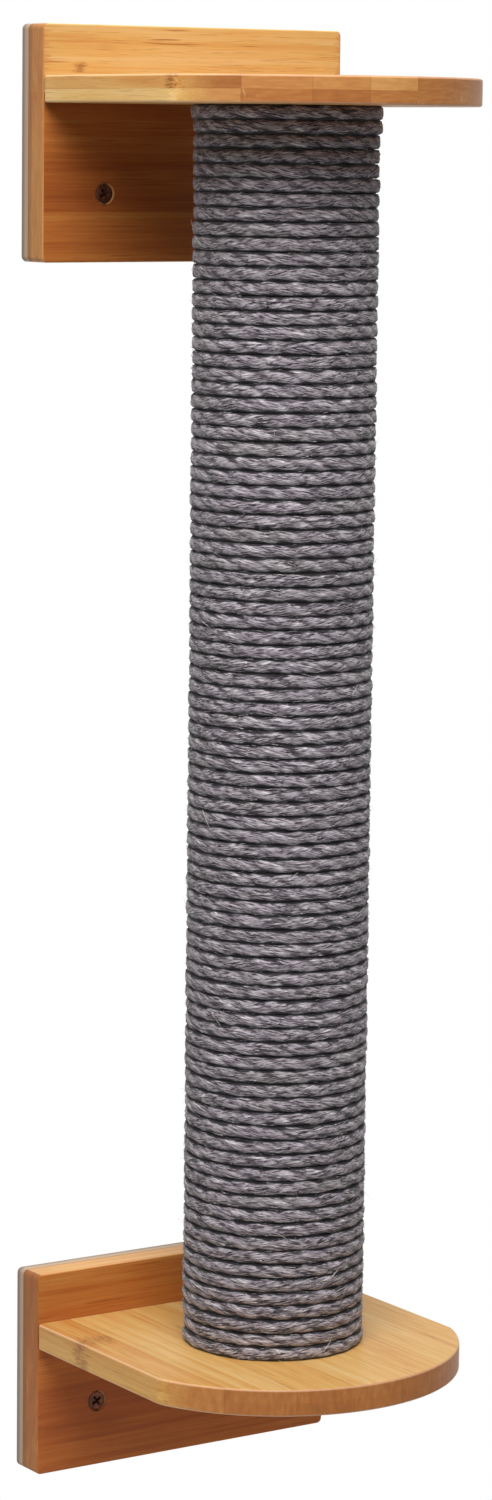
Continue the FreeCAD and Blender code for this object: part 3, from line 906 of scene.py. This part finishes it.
def shelf(name, node, outward, material):
    """A D-shaped shelf with rounded edges and a sunk bolt hole in its outer face."""
    low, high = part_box(node)
    bm = bmesh.new()

    def place(u, v, level):
        return Vector((u, v, level))

    outline = shelf_outline(high.x, high.y)
    bottom, top = board_rings(bm, outline, low.z, high.z, (SHELF_EASE, SHELF_EASE), place)
    outer = high.z if outward > 0 else low.z
    steps = (
        (outer, BOLT_BORE + BOLT_BORE_EASE),
        (outer - outward * BOLT_BORE_EASE, BOLT_BORE),
        (outer - outward * BOLT_BORE_DEPTH, BOLT_BORE),
    )
    mouth, seat = sunk_hole(bm, (0.0, -POST_SETBACK), steps, place, BOLT_BORE_SIDES)
    bm.faces.new(seat)
    fill(bm, [top, mouth] if outward > 0 else [top])
    fill(bm, [bottom] if outward > 0 else [bottom, mouth])
    place_piece(name, finished_mesh(name, bm), material, "bamboo", node)


# Screws and bolts


class Spindle:
    """A turned part along an axis, built from loops about it."""

    def __init__(self, bm, start, axis, sides):
        self.bm = bm
        self.start = Vector(start)
        self.axis = Vector(axis).normalized()
        self.side = self.axis.orthogonal().normalized()
        self.up = self.axis.cross(self.side)
        self.sides = sides

    def point(self, x, y, down):
        return self.start + self.side * x + self.up * y + self.axis * down

    def loop(self, outline, down, scale=1.0):
        return add_ring(self.bm, [self.point(x * scale, y * scale, down) for x, y in outline])

    def rings(self, *steps):
        """Round loops, given as (depth, radius)."""
        return [self.loop(circle(radius, self.sides), down) for down, radius in steps]

    def thread(self, start, stop, core, crest, pitch):
        """Loops whose radius follows a running screw thread."""
        steps_per_pitch = 6
        ridge_half = 0.32
        count = max(2, round((stop - start) / pitch * steps_per_pitch))
        rings = []
        for i in range(count + 1):
            down = start + (stop - start) * i / count
            fade_in = min(1.0, (down - start) / pitch)
            outline = []
            for j, (x, y) in enumerate(circle(1.0, self.sides)):
                share = (down / pitch - j / self.sides) % 1.0
                ridge = max(0.0, 1.0 - abs(share - 0.5) / ridge_half)
                radius = core + (crest - core) * ridge * fade_in
                outline.append((radius * x, radius * y))
            rings.append(self.loop(outline, down))
        return rings


def cross_outline():
    """The outline of a cross recess."""
    arm = [(CROSS_REACH, -CROSS_HALF), (CROSS_REACH, CROSS_HALF), (CROSS_HALF, CROSS_HALF)]
    return [point for turn in range(4) for point in rotated(arm, turn * QUARTER)]


def countersunk_screw(bm, start, axis, turn, length, plain, neck, crest):
    """A countersunk screw with a cross recess, a plain neck, a running thread and a point."""
    spindle = Spindle(bm, start, axis, SCREW_SIDES)
    cone = SCREW_HEAD - neck
    straight = cone * SCREW_CONE
    rings = spindle.rings(*SCREW_RIM_STEPS)
    rings += spindle.rings((SCREW_RIM + straight, SCREW_HEAD - straight), (2 * SCREW_RIM + cone, neck))
    rings += spindle.thread(plain, length - SCREW_TIP, neck * SCREW_CORE, crest, SCREW_PITCH)
    tip = ((length - SCREW_TIP * 0.4, neck * 0.5), (length - 0.4 * MM, 0.25 * MM), (length, 0.08 * MM))
    rings += spindle.rings(*tip)
    bridge_all(bm, rings)
    bm.faces.new(rings[-1])
    cross = rotated(cross_outline(), turn)
    recess = [spindle.loop(cross, down, scale) for down, scale in CROSS_STEPS]
    bridge_all(bm, recess)
    bm.faces.new(recess[-1])
    fill(bm, [rings[0], recess[0]])


def screw_pair(name, node, material, slot, away, way, turns, **sizes):
    """The two like screws of one bracket, which go into the wall or out of it."""
    low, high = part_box(node)
    start = low.y if way > 0 else high.y
    bm = bmesh.new()
    for side, turn in zip((-1, 1), turns):
        head = (side * away, start, (low.z + high.z) / 2)
        countersunk_screw(bm, head, (0, way, 0), turn, high.y - low.y, **sizes)
    place_piece(name, finished_mesh(name, bm), material, slot, node)


def post_bolt(name, node, outward, material):
    """A low-headed bolt with a hexagon socket, and its thread in the insert."""
    low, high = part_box(node)
    top = high.z if outward > 0 else low.z
    length = high.z - low.z
    bm = bmesh.new()
    spindle = Spindle(bm, (0.0, -POST_SETBACK, top), (0, 0, -outward), BOLT_SIDES)
    rings = spindle.rings(*BOLT_HEAD)
    thread_start = BOLT_HEAD_HEIGHT + BOLT_PLAIN
    rings += spindle.thread(thread_start, length - BOLT_TIP, BOLT_CORE, BOLT_SHANK, BOLT_PITCH)
    rings += spindle.rings((length, BOLT_END))
    bridge_all(bm, rings)
    bm.faces.new(rings[-1])
    socket = circle(SOCKET_REACH, 6)
    mouth = spindle.loop(socket, 0.0)
    lower = spindle.loop(socket, SOCKET_DEPTH)
    centre = bm.verts.new(spindle.point(0.0, 0.0, SOCKET_POINT))
    bridge(bm, mouth, lower)
    for i, vert in enumerate(lower):
        bm.faces.new((vert, lower[(i + 1) % len(lower)], centre))
    fill(bm, [rings[0], mouth])
    place_piece(name, finished_mesh(name, bm), material, "zinc_steel", node)


# Rope


def drift(seed, spacing, size, length):
    """A function of the place along a length: a seeded number that changes smoothly, up to its size."""
    rng = random.Random(seed)
    values = [rng.uniform(-1, 1) for _ in range(int(length / spacing) + 3)]

    def at(place):
        share = place / spacing
        index = int(share)
        ease = eased(share - index)
        return size * (values[index] * (1 - ease) + values[index + 1] * ease)

    return at


class Winding:
    """The rope's line on the post: level round the front, one turn up in each climb at the back."""

    def __init__(self, bottom, top):
        self.bottom = bottom
        self.pitch = (top - bottom) / ROPE_TURNS
        self.turn_length = FULL_TURN * ROPE_LINE
        self.length = self.turn_length * ROPE_TURNS
        self.level = 1 - CLIMB / FULL_TURN
        self.last = ROPE_TURNS - CLIMB / FULL_TURN - ROPE_CUT
        self.sway, self.swell, self.girth = (drift(*sizes, self.length) for sizes in (SWAY, SWELL, GIRTH))

    def lift(self, turns):
        """Height of the rope's middle after a number of turns."""
        whole = min(int(turns), ROPE_TURNS - 1)
        share = clamped((turns - whole - self.level) / (1 - self.level))
        return self.bottom + (whole + 0.5 + eased(share)) * self.pitch

    def frame(self, turns):
        """Middle, outward, tangent and upward directions of the rope after a number of turns."""
        angle = CLIMB_START + FULL_TURN * turns
        out = Vector((math.cos(angle), math.sin(angle), 0.0))
        step = 0.002
        rise = (self.lift(turns + step) - self.lift(turns - step)) / (2 * step)
        tangent = Vector((-out.y * self.turn_length, out.x * self.turn_length, rise)).normalized()
        place = turns * self.turn_length
        loose = clamped(2 * min(turns, self.last - turns))
        bulge = TOP_BULGE * clamped(turns - (ROPE_TURNS - TOP_BULGE_TURNS))
        radius = ROPE_LINE + self.swell(place) + bulge
        height = self.lift(turns) + self.sway(place) * loose
        centre = Vector((0.0, -POST_SETBACK, height)) + out * radius
        return centre, out, tangent, out.cross(tangent)


def squared(angle):
    """How much further a pressed rope reaches at an angle than a round one."""
    power = ROPE_SQUARENESS
    return (abs(math.cos(angle)) ** power + abs(math.sin(angle)) ** power) ** (-1 / power)


def strand_section():
    """The outline of the twisted strands seen along the rope: (angle, radius, crest share)."""
    half = math.pi / STRANDS
    crease = STRAND_OFFSET * math.cos(half)
    crease += math.sqrt(STRAND_RADIUS ** 2 - (STRAND_OFFSET * math.sin(half)) ** 2)
    reach = math.atan2(crease * math.sin(half), crease * math.cos(half) - STRAND_OFFSET)
    made = []
    for strand in range(STRANDS):
        middle = 2 * half * strand
        for i in range(STRAND_POINTS):
            share = 2 * i / STRAND_POINTS - 1
            x = STRAND_OFFSET + STRAND_RADIUS * math.cos(reach * share)
            y = STRAND_RADIUS * math.sin(reach * share)
            made.append((middle + math.atan2(y, x), math.hypot(x, y), 1 - abs(share)))
    return made


def tube_faces(first, rings, count):
    """Faces of a closed tube whose points start at a number and come in rings of one count."""
    faces = []
    for base in range(first, first + (rings - 1) * count, count):
        for i in range(count):
            j = (i + 1) % count
            faces.append((base + i, base + j, base + count + j, base + count + i))
    end = first + (rings - 1) * count
    faces.append(tuple(reversed(range(first, first + count))))
    faces.append(tuple(range(end, end + count)))
    return faces


def rope(winding, material):
    """All turns of the rope as one mesh that follows its twisted strands."""
    section = strand_section()
    lumps = [drift(*sizes, winding.length) for sizes in STRAND_LUMPS]
    rings = int(winding.last * ROPE_STEPS) + 1
    points, fibre_places, crests = [], [], []
    for step in range(rings):
        turns = step / ROPE_STEPS
        centre, out, _, up = winding.frame(turns)
        place = turns * winding.turn_length
        twist = -FULL_TURN * place / ROPE_LAY
        girth = 1 + winding.girth(place)
        for i, (angle, radius, crest) in enumerate(section):
            lump = 1 + crest * lumps[i // STRAND_POINTS](place)
            reach = radius * girth * lump * squared(angle + twist)
            x = reach * math.cos(angle + twist)
            y = reach * math.sin(angle + twist)
            points.append(centre + out * x + up * y)
            fibre_places += (place, x, y)
            crests.append(crest)
    mesh = bpy.data.meshes.new("rope_turns")
    mesh.from_pydata(points, [], tube_faces(0, rings, len(section)))
    mesh.attributes.new("fibre_place", "FLOAT_VECTOR", "POINT").data.foreach_set("vector", fibre_places)
    mesh.attributes.new("crest", "FLOAT", "POINT").data.foreach_set("value", crests)
    place_piece("rope_turns", mesh, material, "sisal_rope", "rope_winding")


def fibre_points(line, radius):
    """Points of a thin tube along a short line, tapering to its end."""
    made = []
    last = len(line) - 1
    for i, point in enumerate(line):
        ahead = (line[min(i + 1, last)] - line[max(i - 1, 0)]).normalized()
        side = ahead.orthogonal().normalized()
        up = ahead.cross(side)
        for x, y in circle(radius * (1 - FIBRE_TAPER * i / last), FIBRE_SIDES):
            made.append(point + side * x + up * y)
    return made


def tube_piece(name, tubes, material):
    """Many fibres as one piece, each given by its line and radius."""
    points, faces = [], []
    for line, radius in tubes:
        faces += tube_faces(len(points), len(line), FIBRE_SIDES)
        points += fibre_points(line, radius)
    mesh = bpy.data.meshes.new(name)
    mesh.from_pydata(points, [], faces)
    place_piece(name, mesh, material, "sisal_rope")


def fibre_line(winding, rng, turns, angle, lean, length, lift):
    """A short line that leaves the rope's surface along its strands. lift is (arch, rise of its tip)."""
    centre, out, tangent, up = winding.frame(turns)
    off = out * math.cos(angle) + up * math.sin(angle)
    across = up * math.cos(angle) - out * math.sin(angle)
    root = centre + off * (FIBRE_SEAT * squared(angle))
    way = rng.choice((-1, 1))
    arch, tip = lift
    line = []
    for i in range(FIBRE_STEPS + 1):
        share = i / FIBRE_STEPS
        run = length * share
        bend = out * (-run * run / (2 * ROPE_LINE))
        ahead = tangent * (way * run * math.cos(lean)) + across * (run * math.sin(lean))
        line.append(root + ahead + bend + off * (arch * math.sin(math.pi * share) + tip * share ** 2))
    return line


def fibres(winding, material):
    """Slivers that lie on the rope, and short stray fibres that stand off it."""
    rng = random.Random(FIBRE_SEED)
    tubes = []
    for i in range(SLIVER_COUNT + FUZZ_COUNT):
        turns = rng.uniform(FIBRE_END, winding.last - FIBRE_END)
        angle = rng.gauss(*FIBRE_ANGLES)
        if i < SLIVER_COUNT:
            length = rng.uniform(*SLIVER_LENGTHS)
            lift = (rng.uniform(*SLIVER_ARCHES), rng.uniform(*SLIVER_TIPS))
            lean = rng.gauss(0.0, SLIVER_LEAN)
            radii = SLIVER_RADII
        else:
            length = rng.uniform(*FUZZ_LENGTHS)
            lift = (FUZZ_ARCH, FUZZ_TIP + abs(rng.gauss(0.0, FUZZ_TIP_SPREAD)))
            lean = rng.gauss(0.0, FUZZ_LEAN)
            radii = FUZZ_RADII
        line = fibre_line(winding, rng, turns, angle, lean, length, lift)
        tubes.append((line, rng.uniform(*radii)))
    tube_piece("rope_fibres", tubes, material)


def straws(low, high, material):
    """A few longer pale fibres that lie across the turns."""
    rng = random.Random(STRAW_SEED)
    places = list(STRAWS)
    for _ in range(STRAW_COUNT):
        places.append((rng.uniform(low + STRAW_MARGIN, high - STRAW_MARGIN), rng.uniform(-math.pi, math.pi),
                       rng.uniform(*STRAW_LENGTHS), rng.uniform(-STRAW_LEAN, STRAW_LEAN)))
    tubes = []
    reach = ROPE_LINE + STRAND_OFFSET + STRAND_RADIUS
    for height, direction, length, lean in places:
        line = []
        for i in range(STRAW_STEPS + 1):
            share = i / STRAW_STEPS
            arch = math.sin(math.pi * share)
            run = length * (share - 0.5)
            angle = direction + run * math.cos(lean) / reach
            radius = reach + STRAW_SEAT + STRAW_ARCH * arch
            line.append(Vector((
                radius * math.cos(angle),
                radius * math.sin(angle) - POST_SETBACK,
                height + run * math.sin(lean) + STRAW_RISE * arch)))
        tubes.append((line, STRAW_RADIUS))
    tube_piece("rope_straws", tubes, material)


# Studio


def floor(material):
    """A pale round floor under the object."""
    bm = bmesh.new()
    rings = []
    for share in (0.25, 0.5, 0.75, 1.0):
        outline = circle(FLOOR_RADIUS * share, FLOOR_SIDES)
        rings.append(add_ring(bm, [Vector((x, y - FLOOR_SETBACK, FLOOR_HEIGHT)) for x, y in outline]))
    bridge_all(bm, rings)
    bm.faces.new(rings[0])
    mesh = finished_mesh("floor", bm)
    mesh.materials.append(material)
    made = link_object("floor", mesh)


def soft_lamp(name, place, target, size, power):
    """A square soft lamp aimed at a point."""
    data = bpy.data.lights.new(name, "AREA")
    data.shape = "SQUARE"
    data.size = size
    data.energy = power
    lamp = link_object(name, data)
    lamp.location = place
    aim = Vector(target) - Vector(place)
    lamp.rotation_euler = aim.to_track_quat("-Z", "Y").to_euler()


def white_world(low, high, horizon):
    """White to the camera and in reflections, and a soft light that is stronger from above."""
    world = bpy.data.worlds.new("studio")
    bpy.context.scene.world = world
    g = Graph(world)
    white = (1.0, 1.0, 1.0)
    path = g.node("LightPath").outputs
    seen = path["Is Camera Ray"]
    for name in ("Is Glossy Ray", "Is Transmission Ray"):
        seen = g.math("MAXIMUM", seen, path[name])
    height = g.split(g.node("TexCoord").outputs["Generated"])[2]
    light = g.wire(g.node("Background"), white, g.fade(height, horizon, 1.0, low, high, kind="LINEAR"))
    backdrop = g.wire(g.node("Background"), white, 1.0)
    choice = g.wire(g.node("MixShader"), seen, light, backdrop)
    g.feed(g.node("OutputWorld").inputs["Surface"], choice)


def photo_camera():
    """A camera at the photograph's place and angle."""
    data = bpy.data.cameras.new("camera")
    data.sensor_fit = "VERTICAL"
    data.sensor_height = CAMERA_SENSOR
    data.lens = CAMERA_LENS
    camera = link_object("camera", data)
    turn = Matrix.Rotation(CAMERA_AZIMUTH, 4, "Z") @ Matrix.Rotation(QUARTER - CAMERA_PITCH, 4, "X")
    roll = Matrix.Rotation(CAMERA_ROLL, 4, "Z")
    camera.matrix_world = Matrix.Translation(CAMERA_PLACE) @ turn @ roll
    bpy.context.scene.camera = camera


# Brackets

# Tones go from dark at 0 to pale at 1.
# Strips are (width, start, tones), and rim tones are those of the lower and the upper ply. On a plate the
# strips under the shelf have darker tones than those above it: painted shade from the shelf over the strips'
# own tones.
# Knuckles are (place along the grain, from, to, lowest level, half length, share).
# Plate ends are (tone at the bottom, at the top), and soak is (share, lowest level).
# Rim streaks are waves per metre across the strips and through the plies.
# The rear ply's tones carry no painted shade, so the back stays even.
REAR_TONES = (0.68, 0.62, 0.71, 0.65, 0.69)
# A lowest level that is under everything
ANY_LEVEL = -1.0
BRACKETS = {
    "upper": {
        "outward": 1,
        "seed": 3.0,
        # The strips under the shelf are darker: painted shade from the shelf.
        "plate_strips_and_shade": (25 * MM, 232 * MM, (0.42, 0.35, 0.42, 0.79, 0.83)),
        "plate_knuckles": ((-58 * MM, 316.0 * MM, 319.4 * MM, ANY_LEVEL, 3.8 * MM, 0.6),),
        "plate_ends": (0.60, 0.48),
        "soak": (0.5, 314 * MM),
        "pale_share": 0.7,
        "shelf_strips": (22.8 * MM, -82.4 * MM, (0.83, 0.68, 0.66, 0.64, 0.58, 0.62, 0.64)),
        "shelf_knuckles": ((-117 * MM, -80 * MM, -59.6 * MM, 308.5 * MM, 5 * MM, 0.75),),
        "shelf_ply_step": 0.13,
        "shelf_ply_line": 0.3,
        "flank_lacquer": 0.0,
        "rim_tones": (
            (0.52, 0.36, 0.29, 0.40, 0.42, 0.46, 0.48),
            (0.29, 0.50, 0.53, 0.66, 0.42, 0.44, 0.48),
        ),
        "rim_streaks": (160.0, 900.0),
        "rim_ticks": True,
    },
    "lower": {
        "outward": -1,
        "seed": 8.0,
        # The strips under the shelf are darker: painted shade from the shelf.
        "plate_strips_and_shade": (24 * MM, -303 * MM, (0.36, 0.34, 0.38, 0.49, 0.52)),
        "plate_knuckles": (),
        "plate_ends": (0.40, 0.26),
        "soak": (0.12, ANY_LEVEL),
        "pale_share": 0.25,
        "shelf_strips": (24.1 * MM, -84.4 * MM, (0.70, 0.80, 0.76, 0.79, 0.73, 0.77, 0.74)),
        "shelf_knuckles": ((-54 * MM, -80 * MM, -60.3 * MM, ANY_LEVEL, 9 * MM, 0.6),),
        "shelf_ply_step": 0.0,
        "shelf_ply_line": 0.0,
        "flank_lacquer": 0.22,
        "rim_tones": (
            (0.42, 0.33, 0.28, 0.34, 0.31, 0.34, 0.38),
            (0.44, 0.36, 0.32, 0.37, 0.33, 0.37, 0.40),
        ),
        "rim_streaks": (500.0, 160.0),
        "rim_ticks": False,
    },
}


def dress_node(node, material):
    """Give a CAD node that stays its finished material."""
    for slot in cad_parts[node].material_slots:
        slot.material = material


def bracket(height, facts, dark_steel, zinc_steel):
    """A plate, its shelf, and the screws and the bolt that hold them and the post."""
    plate_node = f"{height}_backplate"
    shelf_node = f"{height}_shelf"
    plate_low, plate_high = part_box(plate_node)
    shelf_low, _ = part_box(shelf_node)
    screw_low, screw_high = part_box(f"{height}_wall_screws")
    screw_z = (screw_low.z + screw_high.z) / 2
    plate_material = plate_bamboo(f"{height}_plate_bamboo", facts, plate_low, plate_high, screw_z)
    shelf_material = shelf_bamboo(f"{height}_shelf_bamboo", facts, shelf_low)
    back_plate(f"{height}_plate_board", plate_node, shelf_node, screw_z, plate_material)
    shelf(f"{height}_shelf_board", shelf_node, facts["outward"], shelf_material)
    screw_pair(f"{height}_wall_screw_pair", f"{height}_wall_screws", dark_steel, "dark_steel", **WALL_SCREW)
    screw_pair(f"{height}_bracket_screw_pair", f"{height}_bracket_screws", zinc_steel, "zinc_steel",
               **BRACKET_SCREW)
    post_bolt(f"{height}_socket_bolt", f"{height}_post_bolt", facts["outward"], zinc_steel)
    dress_node(f"{height}_bolt_washer", zinc_steel)
    dress_node(f"{height}_threaded_insert", zinc_steel)


# Build the brackets
bronzed_steel = metal("bronzed_steel", colour(56, 28, 18), colour(112, 62, 42), roughness=0.45, metallic=0.6)
zinc_plate = metal("zinc_steel", colour(150, 150, 148), colour(198, 198, 194), roughness=0.35, metallic=0.95)
for height, facts in BRACKETS.items():
    bracket(height, facts, bronzed_steel, zinc_plate)

# Build the post's inside and the rope
plug_wood = plain_wood("plug_wood", colour(180, 140, 92), colour(220, 186, 138), grain=2)
dowel_wood = plain_wood("dowel_wood", colour(192, 150, 104), colour(228, 194, 150), grain=1)
for height in BRACKETS:
    dress_node(f"{height}_end_plug", plug_wood)
    dress_node(f"{height}_dowels", dowel_wood)
dress_node("post_core_tube", cardboard())
core_low, core_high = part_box("post_core_tube")
winding = Winding(core_low.z, core_high.z)
grey_fibre = loose_fibre("loose_fibre", colour(80, 73, 79), colour(146, 139, 145), colour(222, 216, 212))
pale_fibre = loose_fibre("pale_fibre", colour(178, 172, 164), colour(206, 201, 194), colour(228, 224, 216))
rope(winding, sisal(core_low.z))
fibres(winding, grey_fibre)
straws(core_low.z, core_high.z, pale_fibre)

# Build the studio
floor(studio_floor())
soft_lamp("key", place=(-0.75, -1.15, 1.75), target=(0, -0.08, 0.05), size=1.5, power=58)
soft_lamp("fill", place=(-1.7, -0.35, 0.1), target=(0, -0.05, 0.0), size=0.9, power=1.8)
white_world(low=0.05, high=0.55, horizon=-0.15)
photo_camera()
bpy.context.scene.view_settings.view_transform = "Standard"
